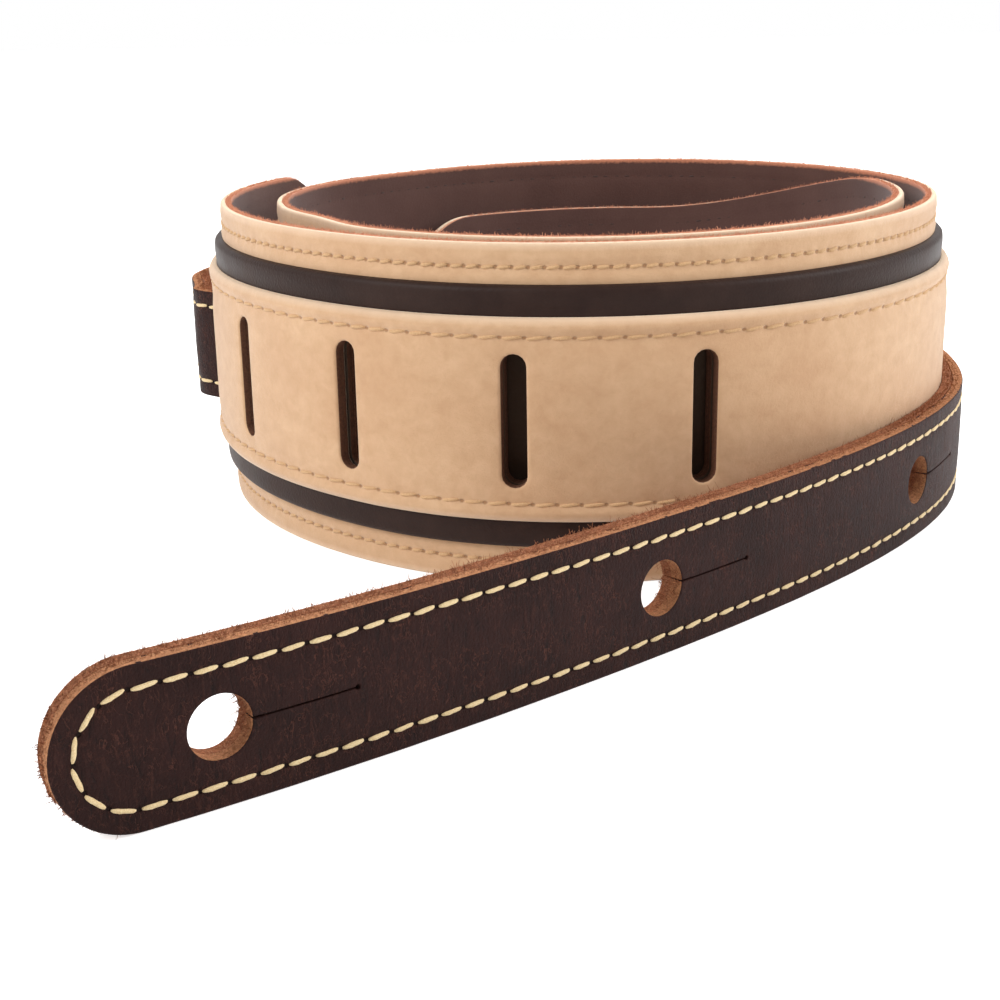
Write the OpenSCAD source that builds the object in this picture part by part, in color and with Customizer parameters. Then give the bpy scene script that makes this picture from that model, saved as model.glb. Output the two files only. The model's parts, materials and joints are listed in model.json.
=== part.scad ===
// Padded leather guitar strap, rolled up and standing on its lower edge.
// A layered band makes two turns of a spiral. A narrow tail with button holes
// passes in through the band's first slot, lies round the back of the coil
// and leaves it at the right, where it runs free along the surface.

/* [Band] */
// Width of the band from edge to edge
band_w = 63.5; // [58:0.5:76]
// Length of the band from its slotted end to the tip of its head end
band_l = 910; // [870:2:970]
// Width of the plain border along each edge
border_w = 7.3; // [6.5:0.1:9]
// Width of the dark stripe that shows beside the centre panel
stripe_w = 5.5; // [3:0.1:7]
// Corner radius of the slotted end
corner_r = 15; // [13.5:0.5:20]
// Width of the head end
head_w = 40; // [34:0.5:48]
// Length over which the band narrows to the head end
taper_l = 80; // [70:2:120]
// Length of the thin tab at the head end, past the padding
tab_l = 70; // [50:2:90]

/* [Leather and padding] */
// Thickness of the lining
lining_t = 1; // [0.8:0.1:1.6]
// Thickness of the base leather
base_t = 1.4; // [1:0.1:2.2]
// Thickness of the foam padding
padding_t = 0.8; // [0.6:0.1:2]
// Thickness of the inlay leather
inlay_t = 0.8; // [0.6:0.1:1.4]
// Thickness of the centre panel
panel_t = 1.4; // [1:0.1:2]
// Distance that the padding stops short of the inlay's edge
padding_inset = 1; // [0.5:0.1:2]

/* [Coil] */
// Radius of the lining's inner face at the slotted end, before the flare
coil_start_r = 76.8; // [74:0.2:90]
// Free gap between one turn and the next
turn_gap = 2.6; // [2:0.1:5]
// How far the coil is out of round, as a radius
out_of_round = 3.4; // [0:0.1:4]
// Direction of the coil's long axis, in degrees from +X
oval_dir = 60; // [0:5:175]
// Winding angle at which the slotted end starts, in degrees from +X
start_angle = 142; // [136:1:156]
// How far the slotted end stands away from the turn inside it
flare_h = 12.1; // [11:0.2:15]
// Winding angle over which that flare fades, in degrees
flare_span = 92; // [70:1:100]
// How far the inner turn leans out under the slotted end
inner_lean = 3.5; // [0:0.5:4]
// How far the inner turn presses towards the outer one, past the tail's end
inner_press = 1.2; // [0:0.1:1.4]

/* [Slots] */
// Number of adjustment slots
slot_count = 5; // [2:1:8]
// Distance from the slotted end to the first slot's centre
slot_first = 63.3; // [58:0.1:70]
// Distance from one slot to the next
slot_pitch = 33.6; // [28:0.2:40]
// Width of a slot
slot_w = 4.5; // [3:0.1:6]
// Width of the first slot, where the tail holds it open
open_slot_w = 12.6; // [12:0.1:15]
// Clearance between a slot's end and the tail's edge
slot_clear = 0.4; // [0.2:0.1:1]

/* [Tail] */
// Width of the tail
tail_w = 24; // [20:0.5:26]
// Thickness of the tail's face leather
tail_face_t = 2.3; // [1.8:0.1:2.6]
// Thickness of the tail's backing leather
tail_back_t = 2.1; // [1.6:0.1:2.4]
// Length of the tail's free part, from its flex line to its tip
tail_free_l = 223.5; // [205:0.5:240]
// Length of the tail past the slot, inside the coil
tail_inside_l = 34; // [30:1:40]
// Direction in which the tail leaves the coil, in degrees from +X
tail_leave_dir = -15; // [-22:1:-12]
// Angle through which the free part still bends, in degrees
tail_bend = 36; // [20:1:45]
// Length over which that bend fades
tail_settle = 50; // [40:1:80]
// Angle through which the tip turns further, in degrees
tail_tip_bend = 6.5; // [0:0.5:10]
// Length over which the tip turns
tail_tip_l = 104; // [80:2:120]
// How far the tail bows out before it turns into the slot
tail_bow = 4; // [2:0.2:6]
// Clearance between the tail and the band, past the thread rows on both
tail_clear = 0.15; // [0.1:0.05:0.6]
// Radial clearance round the flex line's rounded end
flex_clear = 0.3; // [0.2:0.05:0.5]
// How far that rounded end stands inside each face of its layer
flex_trim = 0.1; // [0.05:0.05:0.3]

/* [Button holes] */
// Diameter of a button hole
hole_d = 9.5; // [8:0.1:11]
// Distance from the tail's tip to the first hole
hole_edge = 23.5; // [18:0.5:30]
// Distance from one hole in the tail to the next
hole_pitch = 81; // [60:0.5:82]
// Number of holes in the tail's free part
hole_count = 3; // [1:1:3]
// Distance from the head end's tip to its hole
head_hole_edge = 21; // [18:0.5:24]
// Length of the slit beside each hole
slit_l = 16.5; // [10:0.5:20]
// Width of the slit
slit_w = 0.5; // [0.3:0.1:0.8]
// Diameter of the punched dot that stops the slit
slit_dot_d = 1.4; // [1:0.1:2]

/* [Thread] */
// Width of a thread row
thread_w = 0.8; // [0.6:0.1:1]
// Height of a thread row above the leather
thread_h = 0.15; // [0.1:0.05:0.3]
// Distance from the band's edge to the border's thread row
border_stitch = 4.3; // [3:0.1:5.5]
// Distance from the centre panel's edge to its thread row
panel_stitch = 3.5; // [2.5:0.1:4]
// Distance from the tail's edge to its thread row
tail_stitch = 3.4; // [2.5:0.1:4.5]

/* [Hidden] */

tan_leather = [0.84, 0.69, 0.52];
dark_leather = [0.27, 0.21, 0.2];
lining_leather = [0.37, 0.27, 0.25];
tail_leather = [0.26, 0.17, 0.16];
backing_leather = [0.66, 0.42, 0.29];
foam = [0.85, 0.84, 0.8];
tan_thread = [0.78, 0.62, 0.4];
cream_thread = [0.88, 0.79, 0.6];
dark_thread = [0.2, 0.14, 0.13];

$fn = 48;
ring_step = 6;
corner_steps = 5;
table_step = 3;
through = 30;
min_half = 0.3;
round_overlap = 0.5;

// Offsets of each layer's inner face from the lining's inner face
base_at = lining_t;
padding_at = base_at + base_t;
inlay_at = padding_at + padding_t;
panel_at = inlay_at + inlay_t;
band_t = panel_at + panel_t;
turn_pitch = band_t + turn_gap;

tail_t = tail_face_t + tail_back_t;
tail_mid = tail_back_t - tail_t / 2;
slot_l = tail_w + 2 * slot_clear;
tail_gap = 2 * thread_h + tail_clear;

// ---- Curves in plan ----

function ease(t) = let (u = max(0, min(1, t))) u * u * (3 - 2 * u);
function bump(a, up, down, edge) = ease((a - up) / edge) * (1 - ease((a - down) / edge));
function unit(v) = v / norm(v);
function right_of(v) = [v[1], -v[0]];

// The inner turn gives way where the end of the tail lies between the turns
tuck_h = max(0, band_t + tail_t + 2 * tail_gap - turn_pitch);
tuck_up = start_angle + 412;
tuck_down = tuck_up + 12;
tuck_edge = 24;
lean_up = start_angle + 340;
lean_down = lean_up + 48;
lean_edge = 40;
press_from = start_angle + 450;
press_edge = 40;

// Radius of the lining's inner face at winding angle a
function coil_r(a) =
    coil_start_r
    - turn_pitch * (a - start_angle) / 360
    + out_of_round * cos(2 * (a - oval_dir))
    + flare_h * (1 - ease((a - start_angle) / flare_span))
    + inner_lean * bump(a, lean_up, lean_down, lean_edge)
    - tuck_h * bump(a, tuck_up, tuck_down, tuck_edge)
    + inner_press * ease((a - press_from) / press_edge);
function coil_centre_xy(a) = coil_r(a) * [cos(a), sin(a)];
function coil_out(a) = unit(right_of(coil_centre_xy(a + 0.5) - coil_centre_xy(a - 0.5)));
function coil_xy(a, off) = coil_centre_xy(a) + off * coil_out(a);

// Winding angle against length along the middle of the base leather
coil_table = [
    for (a = start_angle, s = 0; a < start_angle + 860;
        s = s + norm(coil_xy(a + table_step, padding_at) - coil_xy(a, padding_at)), a = a + table_step)
        [s, a]
];
function angle_at(s) = lookup(s, coil_table);

// ---- Outline of the band, as half its height at distance s ----

function round_off(r, d) = d >= r ? 0 : r - sqrt(max(0, r * r - (r - d) * (r - d)));
function band_half(s) =
    band_w / 2 + (head_w - band_w) / 2 * ease((s - (band_l - tab_l - taper_l)) / taper_l);
function start_round(inset) = corner_r - inset;
function end_round(inset) = head_w / 2 - inset;
function layer_half(s, inset, end) =
    max(min_half, band_half(s) - inset
        - round_off(start_round(inset), s - inset)
        - round_off(end_round(inset), end - s));
function layer_stations(inset, end) = concat(
    [for (k = [0 : corner_steps - 1]) inset + start_round(inset) * (1 - cos(90 * k / corner_steps))],
    [for (s = [ring_step * ceil(corner_r / ring_step) : ring_step : end - end_round(inset) - 1]) s],
    [for (k = [corner_steps : -1 : 0]) end - end_round(inset) * (1 - cos(90 * k / corner_steps))]
);

// A point on the band: distance s along it, height z above its lower edge, off outwards
function band_point(s, z, off) = let (p = coil_xy(angle_at(s), off)) [p[0], p[1], z];

// ---- Plan of the tail ----

slot_angle = angle_at(slot_first);
climb_from = 60;
climb_span = 82;
bow_up = slot_angle - 33;
bow_down = slot_angle - 17;
bow_edge = 12;
cross_half = 4.3;

function wrap_r(d) =
    let (
        rest = band_t + tail_gap + tail_t / 2,
        low = coil_r(d + 360) + rest,
        high = coil_r(d) + rest,
        outside = low + (high - low) * ease((d - climb_from) / climb_span)
            + tail_bow * bump(d, bow_up, bow_down, bow_edge),
        inside = coil_r(d) - tail_gap - tail_t / 2,
        cross = ease((d - slot_angle + cross_half) / (2 * cross_half))
    )
    outside * (1 - cross) + inside * cross;
function wrap_centre_xy(d) = wrap_r(d) * [cos(d), sin(d)];
function wrap_out(d) = unit(right_of(wrap_centre_xy(d + 0.5) - wrap_centre_xy(d - 0.5)));

// Direction against length along the wrapped part, from the flex line
wrap_table = [
    for (d = tail_leave_dir, s = 0; d < slot_angle + 60;
        s = s + norm(wrap_centre_xy(d + 1) - wrap_centre_xy(d)), d = d + 1)
        [s, d]
];
wrap_of_slot = [for (row = wrap_table) if (row[1] <= slot_angle) row[0]];
wrap_l = wrap_of_slot[len(wrap_of_slot) - 1] + tail_inside_l;

// The wrapped part climbs from the surface to the middle of the band
wrap_rise = band_w / 2 - tail_w / 2;
rise_from = tail_leave_dir + 4;
rise_span = bow_up - rise_from;
function wrap_z(d) = wrap_rise * ease((d - rise_from) / rise_span);

function wrap_point(s, z, off) =
    let (d = lookup(s, wrap_table), p = wrap_centre_xy(d) + off * wrap_out(d))
    [p[0], p[1], z + wrap_z(d)];

// The free part leaves along the tangent and straightens as it goes
flex_xy = wrap_centre_xy(tail_leave_dir);
flex_out = wrap_out(tail_leave_dir);
leave_heading = atan2(flex_out[1], flex_out[0]) - 90;
function free_heading(s) = leave_heading - tail_bend * (1 - exp(-s / tail_settle))
    - tail_tip_bend * pow(max(0, 1 - (tail_free_l - s) / tail_tip_l), 2);
free_steps = [
    for (s = 0, p = flex_xy; s <= tail_free_l + 2;
        p = p + [cos(free_heading(s + 0.5)), sin(free_heading(s + 0.5))], s = s + 1)
        [s, p[0], p[1]]
];
free_x = [for (row = free_steps) [row[0], row[1]]];
free_y = [for (row = free_steps) [row[0], row[2]]];
function free_out(s) = [-sin(free_heading(s)), cos(free_heading(s))];
function free_point(s, z, off) =
    let (p = [lookup(s, free_x), lookup(s, free_y)] + off * free_out(s))
    [p[0], p[1], z];

function tail_point(free, s, z, off) = free ? free_point(s, z, off) : wrap_point(s, z, off);
function tail_length(free) = free ? tail_free_l : wrap_l;
function tail_step(free) = free ? ring_step : ring_step / 1.5;
function tail_stations(free) =
    let (l = tail_length(free), r = tail_w / 2)
    concat(
        [for (s = [0 : tail_step(free) : l - r - 1]) s],
        [for (k = [0 : corner_steps + 1]) l - r + r * sin(90 * k / (corner_steps + 1))]
    );
function tail_half(s, l) =
    let (r = tail_w / 2, past = s - (l - r))
    past <= 0 ? r : max(min_half, sqrt(max(0, r * r - past * past)));

// ---- Origin: bottom centre of the whole ----

outline = concat(
    [for (s = layer_stations(0, band_l)) band_point(s, 0, padding_at)],
    [for (s = layer_stations(border_w + stripe_w, band_l - tab_l)) band_point(s, 0, band_t)],
    [for (free = [true, false], s = tail_stations(free), off = [-1, 1])
        tail_point(free, s, 0, off * tail_t / 2)]
);
outline_x = [for (p = outline) p[0]];
outline_y = [for (p = outline) p[1]];
to_origin = -[min(outline_x) + max(outline_x), min(outline_y) + max(outline_y)] / 2;

// ---- Building blocks ----

// A solid through rings of four points, each ring in the same order
module sweep(rings, flip = false, closed = false) {
    n = len(rings);
    last = closed ? n : n - 1;
    sides = [
        for (k = [0 : last - 1], j = [0 : 3], half = [0, 1])
            let (
                a = k * 4 + j,
                b = k * 4 + (j + 1) % 4,
                c = ((k + 1) % n) * 4 + (j + 1) % 4,
                d = ((k + 1) % n) * 4 + j
            )
            half == 0 ? [a, b, c] : [a, c, d]
    ];
    caps = closed ? [] : [[2, 1, 0], [3, 2, 0], [for (j = [0, 1, 2]) n * 4 - 4 + j], [for (j = [0, 2, 3]) n * 4 - 4 + j]];
    faces = concat(sides, caps);
    translate([to_origin[0], to_origin[1], 0])
        polyhedron(
            points = [for (ring = rings, p = ring) p],
            faces = flip ? [for (f = faces) [f[2], f[1], f[0]]] : faces
        );
}

module band_layer(inset, end, from, thick) {
    sweep([
        for (s = layer_stations(inset, end))
            let (h = layer_half(s, inset, end))
            [for (c = [[0, -h], [thick, -h], [thick, h], [0, h]]) band_point(s, band_w / 2 + c[1], from + c[0])]
    ]);
}

// Points of a row round a layer's outline, as distance and height
function band_row(inset, end) =
    let (stations = layer_stations(inset, end), n = len(stations))
    concat(
        [for (s = stations) [s, band_w / 2 + layer_half(s, inset, end)]],
        [for (k = [n - 1 : -1 : 0]) [stations[k], band_w / 2 - layer_half(stations[k], inset, end)]]
    );

module band_thread(inset, end, from) {
    row = band_row(inset, end);
    n = len(row);
    sweep(closed = true, rings = [
        for (k = [0 : n - 1])
            let (
                along = unit(row[(k + 1) % n] - row[(k + n - 1) % n]),
                side = [-along[1], along[0]] * thread_w / 2
            )
            [for (c = [[-1, 0], [-1, 1], [1, 1], [1, 0]])
                let (q = row[k] + c[0] * side) band_point(q[0], q[1], from + c[1] * thread_h)]
    ]);
}

module tail_layer(free, low, high) {
    l = tail_length(free);
    sweep(flip = free, rings = [
        for (s = tail_stations(free))
            let (h = tail_half(s, l))
            [for (c = [[low, -h], [high, -h], [high, h], [low, h]]) tail_point(free, s, tail_w / 2 + c[1], c[0])]
    ]);
}

// A U-shaped row down one edge, round the end and back up the other
module tail_row(free, from) {
    l = tail_length(free);
    r = tail_w / 2 - tail_stitch;
    straight = l - tail_w / 2;
    step = tail_step(free);
    runs = [for (s = [step * ceil(flex_skip / step) : step : straight - 1]) s];
    n_runs = len(runs);
    turns = 2 * (corner_steps + 1);
    row = concat(
        [for (s = runs) [s, tail_w / 2 + r]],
        [for (k = [0 : turns]) [straight + r * sin(180 * k / turns), tail_w / 2 + r * cos(180 * k / turns)]],
        [for (k = [n_runs - 1 : -1 : 0]) [runs[k], tail_w / 2 - r]]
    );
    n = len(row);
    sweep(flip = free, rings = [
        for (k = [0 : n - 1])
            let (
                along = unit(row[min(k + 1, n - 1)] - row[max(k - 1, 0)]),
                side = [-along[1], along[0]] * thread_w / 2
            )
            [for (c = [[-1, 0], [-1, 1], [1, 1], [1, 0]])
                let (q = row[k] + c[0] * side) tail_point(free, q[0], q[1], from + c[1] * thread_h)]
    ]);
}
flex_skip = tail_t / 2 + flex_clear + 1;

// Places its children at a point, with local +X outwards and +Z up
module facing(p, out) {
    translate([p[0] + to_origin[0], p[1] + to_origin[1], p[2]])
        rotate([0, 0, atan2(out[1], out[0])])
            children();
}

module on_band(s) {
    facing(band_point(s, band_w / 2, 0), coil_out(angle_at(s))) children();
}

module on_free_tail(s) {
    facing(free_point(s, tail_w / 2, 0), free_out(s)) children();
}

module slot_outline(w, r) {
    square([w, slot_l - 2 * r], center = true);
    if (w > 2 * r) square([w - 2 * r, slot_l], center = true);
    for (x = [-1, 1], y = [-1, 1]) translate([x * (w / 2 - r), y * (slot_l / 2 - r)]) circle(r);
}

// Cuts for the slots; the first is held open by the tail
module slot_cuts() {
    for (k = [0 : slot_count - 1])
        on_band(slot_first + k * slot_pitch)
            rotate([90, 0, 90])
                linear_extrude(through / 2, center = true)
                    slot_outline(k == 0 ? open_slot_w : slot_w, k == 0 ? 1 : slot_w / 2);
}

// A button hole with its slit, which runs along local -Y times dir
module button_hole(dir) {
    rotate([0, 90, 0]) cylinder(d = hole_d, h = through / 2, center = true);
    translate([0, dir * (hole_d + slit_l) / 2, 0]) cube([through / 2, slit_l + 1, slit_w], center = true);
    translate([0, dir * (hole_d / 2 + slit_l), 0])
        rotate([0, 90, 0]) cylinder(d = slit_dot_d, h = through / 2, center = true);
}

module tail_hole_cuts() {
    for (k = [0 : hole_count - 1])
        on_free_tail(tail_free_l - hole_edge - k * hole_pitch) button_hole(1);
}

module head_hole_cut() {
    on_band(band_l - head_hole_edge) button_hole(-1);
}

// Round end of the free part at the flex line, for the layer from low to high
module flex_round(low, high) {
    translate([flex_xy[0] + to_origin[0], flex_xy[1] + to_origin[1], flex_trim])
        rotate([0, 0, leave_heading + 90])
            linear_extrude(tail_w - 2 * flex_trim)
                intersection() {
                    circle(d = tail_t - 2 * flex_trim);
                    translate([low + flex_trim, -round_overlap])
                        square([high - low - 2 * flex_trim, tail_t]);
                }
}

module flex_socket_cut() {
    translate([flex_xy[0] + to_origin[0], flex_xy[1] + to_origin[1], -1])
        cylinder(d = tail_t + 2 * flex_clear, h = tail_w + 4);
}

// ---- Band ----

module lining() {
    color(lining_leather) difference() {
        band_layer(0, band_l, 0, lining_t);
        slot_cuts();
        head_hole_cut();
    }
}

module base_leather() {
    color(tan_leather) difference() {
        band_layer(0, band_l, base_at, base_t);
        slot_cuts();
        head_hole_cut();
    }
}

module padding() {
    inset = border_w + padding_inset;
    color(foam) difference() {
        band_layer(inset, band_l - tab_l - padding_inset, padding_at, padding_t);
        slot_cuts();
    }
}

module inlay_leather() {
    color(dark_leather) difference() {
        band_layer(border_w, band_l - tab_l, inlay_at, inlay_t);
        slot_cuts();
    }
}

module centre_panel() {
    color(tan_leather) difference() {
        band_layer(border_w + stripe_w, band_l - tab_l - stripe_w, panel_at, panel_t);
        slot_cuts();
    }
}

module border_thread() {
    color(tan_thread) band_thread(border_stitch, band_l - border_stitch, padding_at);
}

module border_bobbin_thread() {
    color(dark_thread) band_thread(border_stitch, band_l - border_stitch, -thread_h);
}

module panel_thread() {
    color(tan_thread)
        band_thread(border_w + stripe_w + panel_stitch, band_l - tab_l - stripe_w - panel_stitch, band_t);
}

// ---- Tail ----

module tail_face_wrapped() {
    color(tail_leather) difference() {
        tail_layer(false, tail_mid, tail_t / 2);
        flex_socket_cut();
    }
}

module tail_backing_wrapped() {
    color(backing_leather) difference() {
        tail_layer(false, -tail_t / 2, tail_mid);
        flex_socket_cut();
    }
}

module tail_thread_wrapped() {
    color(cream_thread) tail_row(false, tail_t / 2);
}

module tail_bobbin_thread_wrapped() {
    color(dark_thread) tail_row(false, -tail_t / 2 - thread_h);
}

module tail_face_free() {
    color(tail_leather) difference() {
        union() {
            tail_layer(true, tail_mid, tail_t / 2);
            flex_round(tail_mid, tail_t / 2);
        }
        tail_hole_cuts();
    }
}

module tail_backing_free() {
    color(backing_leather) difference() {
        union() {
            tail_layer(true, -tail_t / 2, tail_mid);
            flex_round(-tail_t / 2, tail_mid);
        }
        tail_hole_cuts();
    }
}

module tail_thread_free() {
    color(cream_thread) tail_row(true, tail_t / 2);
}

module tail_bobbin_thread_free() {
    color(dark_thread) tail_row(true, -tail_t / 2 - thread_h);
}

lining();
base_leather();
padding();
inlay_leather();
centre_panel();
border_thread();
border_bobbin_thread();
panel_thread();
tail_face_wrapped();
tail_backing_wrapped();
tail_thread_wrapped();
tail_bobbin_thread_wrapped();
tail_face_free();
tail_backing_free();
tail_thread_free();
tail_bobbin_thread_free();
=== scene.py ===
import json
import math

import bmesh
import bpy
import numpy as np
from mathutils import Matrix, Vector, noise
from mathutils.kdtree import KDTree


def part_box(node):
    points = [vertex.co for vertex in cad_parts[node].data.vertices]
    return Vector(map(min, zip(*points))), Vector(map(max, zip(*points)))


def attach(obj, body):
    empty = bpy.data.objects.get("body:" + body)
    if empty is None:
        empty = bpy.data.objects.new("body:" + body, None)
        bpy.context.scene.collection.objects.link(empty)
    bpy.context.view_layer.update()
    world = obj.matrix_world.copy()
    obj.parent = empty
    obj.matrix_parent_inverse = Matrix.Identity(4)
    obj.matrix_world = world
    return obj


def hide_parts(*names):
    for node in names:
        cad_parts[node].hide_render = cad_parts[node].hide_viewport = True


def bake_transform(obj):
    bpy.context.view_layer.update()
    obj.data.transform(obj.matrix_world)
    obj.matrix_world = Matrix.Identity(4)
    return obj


# A rolled leather guitar strap. Each strip is made flat, as on the bench, in millimetres: x runs
# along the strip, y across it and z through it. Then it is rolled up onto the coil, in metres.

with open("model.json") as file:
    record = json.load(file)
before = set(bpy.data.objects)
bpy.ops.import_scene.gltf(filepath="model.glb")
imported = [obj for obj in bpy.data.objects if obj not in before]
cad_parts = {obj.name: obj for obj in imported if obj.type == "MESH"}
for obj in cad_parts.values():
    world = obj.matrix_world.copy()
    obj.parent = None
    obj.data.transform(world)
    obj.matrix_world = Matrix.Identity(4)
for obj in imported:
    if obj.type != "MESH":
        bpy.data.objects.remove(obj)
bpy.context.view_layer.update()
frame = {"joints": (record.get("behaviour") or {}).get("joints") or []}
MM = 0.001

# ---- Sizes, in millimetres ----

BAND_W = (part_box("base_leather")[1][2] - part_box("base_leather")[0][2]) / MM
BAND_L = 910
BORDER_W = 7.3
STRIPE_W = 5.5
CORNER_R = 15
HEAD_W = 40
TAPER_L = 80
TAB_L = 70

LINING_T = 1.0
BASE_T = 1.4
PADDING_T = 0.8
INLAY_T = 0.8
PANEL_T = 1.4
PADDING_INSET = 1
BASE_AT = LINING_T
PADDING_AT = BASE_AT + BASE_T
INLAY_AT = PADDING_AT + PADDING_T
PANEL_AT = INLAY_AT + INLAY_T
BAND_T = PANEL_AT + PANEL_T

TURN_PITCH = BAND_T + 2.6
COIL_START_R = 76.8
OUT_OF_ROUND = 3.4
OVAL_DIR = 60
START_ANGLE = 142
FLARE_H = 12.1
FLARE_SPAN = 92
INNER_LEAN = 3.5
INNER_PRESS = 1.2

SLOT_COUNT = 5
SLOT_FIRST = 63.3
SLOT_PITCH = 33.6
SLOT_W = 4.5
OPEN_SLOT_W = 12.6
SLOTS = [(SLOT_FIRST + k * SLOT_PITCH, SLOT_W if k else OPEN_SLOT_W) for k in range(SLOT_COUNT)]

TAIL_W = (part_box("tail_face_free")[1][2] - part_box("tail_face_free")[0][2]) / MM
TAIL_R = TAIL_W / 2
TAIL_FACE_T = 2.3
TAIL_BACK_T = 2.1
TAIL_T = TAIL_FACE_T + TAIL_BACK_T
TAIL_MID = TAIL_BACK_T - TAIL_T / 2
TAIL_FREE_L = 223.5
TAIL_INSIDE_L = 34
TAIL_LEAVE_DIR = -15
TAIL_BEND = 36
TAIL_SETTLE = 50
TAIL_TIP_BEND = 6.5
TAIL_TIP_L = 104
TAIL_BOW = 4
TAIL_GAP = 0.45
SLOT_L = TAIL_W + 0.8

HOLE_R = 4.75
HOLE_EDGE = 23.5
HOLE_PITCH = 81
HOLE_COUNT = 3
HOLES = [HOLE_EDGE + k * HOLE_PITCH for k in range(HOLE_COUNT)]
HEAD_HOLE_EDGE = 21
SLIT_L = 16.5
SLIT_W = 0.24
SLIT_DOT_R = 0.4
SLIT_FLARE = 0.2
FLARE_STEPS = 3
PUNCH_PAST = 3

BORDER_STITCH = 4.3
PANEL_STITCH = 3.5
TAIL_STITCH = 3.4
BORDER_PITCH = 2.95
STITCH_PITCH = 4.3

# ---- Where the strips lie ----


def ease(t):
    """A soft step from 0 to 1."""
    t = np.clip(t, 0, 1)
    return t * t * (3 - 2 * t)


def bump(a, up, down, edge):
    """1 between up + edge and down, with soft flanks as wide as edge, and 0 outside them."""
    return ease((a - up) / edge) * (1 - ease((a - down) / edge))


def polar(r, degrees):
    return np.stack([r * np.cos(np.radians(degrees)), r * np.sin(np.radians(degrees))], -1)


def unit(v):
    return v / np.linalg.norm(v, axis=-1, keepdims=True)


def right_of(v):
    return unit(np.stack([v[..., 1], -v[..., 0]], -1))


# Where the inner turn leans out under the slotted end, gives way to the end of the tail, and
# presses out along the front: the winding angles of each bump, as bump takes them, in degrees
LEAN = (START_ANGLE + 340, START_ANGLE + 388, 40)
TUCK = (START_ANGLE + 412, START_ANGLE + 424, 24)
TUCK_H = BAND_T + TAIL_T + 2 * TAIL_GAP - TURN_PITCH
PRESS_FROM = START_ANGLE + 450
PRESS_SPAN = 40


def coil_r(a):
    """Radius of the lining's inner face at winding angle a, in degrees."""
    return (COIL_START_R - TURN_PITCH * (a - START_ANGLE) / 360
            + OUT_OF_ROUND * np.cos(np.radians(2 * (a - OVAL_DIR)))
            + FLARE_H * (1 - ease((a - START_ANGLE) / FLARE_SPAN))
            + INNER_LEAN * bump(a, *LEAN) - TUCK_H * bump(a, *TUCK)
            + INNER_PRESS * ease((a - PRESS_FROM) / PRESS_SPAN))


def coil_out(a):
    return right_of(polar(coil_r(a + 0.5), a + 0.5) - polar(coil_r(a - 0.5), a - 0.5))


def coil_xy(a, off):
    return polar(coil_r(a), a) + off[..., None] * coil_out(a)


def lengths_along(points):
    steps = np.linalg.norm(np.diff(points, axis=0), axis=1)
    return np.concatenate([[0], np.cumsum(steps)])


COIL_ANGLES = START_ANGLE + np.arange(0, 870, 3.0)
COIL_LENGTHS = lengths_along(coil_xy(COIL_ANGLES, np.full(len(COIL_ANGLES), PADDING_AT)))
SLOT_ANGLE = np.interp(SLOT_FIRST, COIL_LENGTHS, COIL_ANGLES)

# Directions from the coil's middle, in degrees, where the tail climbs from the inner turn onto
# the slotted end, bows out, crosses the slot and rises to its height
CLIMB_FROM = 60
CLIMB_SPAN = 82
BOW = (SLOT_ANGLE - 33, SLOT_ANGLE - 17, 12)
CROSS_HALF = 4.3
RISE_FROM = TAIL_LEAVE_DIR + 4


def wrap_r(d):
    """Radius of the middle of the tail's thickness, where it is wrapped round the coil."""
    rest = BAND_T + TAIL_GAP + TAIL_T / 2
    low = coil_r(d + 360) + rest
    high = coil_r(d) + rest
    climb = ease((d - CLIMB_FROM) / CLIMB_SPAN)
    outside = low + (high - low) * climb + TAIL_BOW * bump(d, *BOW)
    inside = coil_r(d) - TAIL_GAP - TAIL_T / 2
    cross = ease((d - SLOT_ANGLE + CROSS_HALF) / (2 * CROSS_HALF))
    return outside * (1 - cross) + inside * cross


def wrap_out(d):
    return right_of(polar(wrap_r(d + 0.5), d + 0.5) - polar(wrap_r(d - 0.5), d - 0.5))


WRAP_DIRS = TAIL_LEAVE_DIR + np.arange(0, SLOT_ANGLE + 60 - TAIL_LEAVE_DIR, 1.0)
WRAP_LENGTHS = lengths_along(polar(wrap_r(WRAP_DIRS), WRAP_DIRS))
WRAP_L = WRAP_LENGTHS[WRAP_DIRS <= SLOT_ANGLE][-1] + TAIL_INSIDE_L
TAIL_L = TAIL_FREE_L + WRAP_L

FLEX_XY = polar(wrap_r(np.array(float(TAIL_LEAVE_DIR))), TAIL_LEAVE_DIR)
FLEX_OUT = wrap_out(np.array(float(TAIL_LEAVE_DIR)))
LEAVE_HEADING = math.degrees(math.atan2(FLEX_OUT[1], FLEX_OUT[0])) - 90


def free_heading(s):
    tip = np.maximum(0, 1 - (TAIL_FREE_L - s) / TAIL_TIP_L)
    return np.radians(LEAVE_HEADING - TAIL_BEND * (1 - np.exp(-s / TAIL_SETTLE))
                      - TAIL_TIP_BEND * tip ** 2)


FREE_S = np.arange(0, TAIL_FREE_L + 3, 1.0)
FREE_STEPS = np.stack([np.cos(free_heading(FREE_S + 0.5)), np.sin(free_heading(FREE_S + 0.5))], -1)
FREE_XY = FLEX_XY + np.concatenate([[[0, 0]], np.cumsum(FREE_STEPS, axis=0)[:-1]])

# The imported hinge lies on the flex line, and that places the whole coil in the frame
HINGE = np.array(frame["joints"][0]["pos_m"])
TO_ORIGIN = HINGE[:2] / MM - FLEX_XY


def on_band(flat):
    """Places flat points of the band, as (along, up, out), on the coil."""
    a = np.interp(flat[:, 0], COIL_LENGTHS, COIL_ANGLES)
    xy = coil_xy(a, flat[:, 2]) + TO_ORIGIN
    return np.column_stack([xy, flat[:, 1]]) * MM


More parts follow.
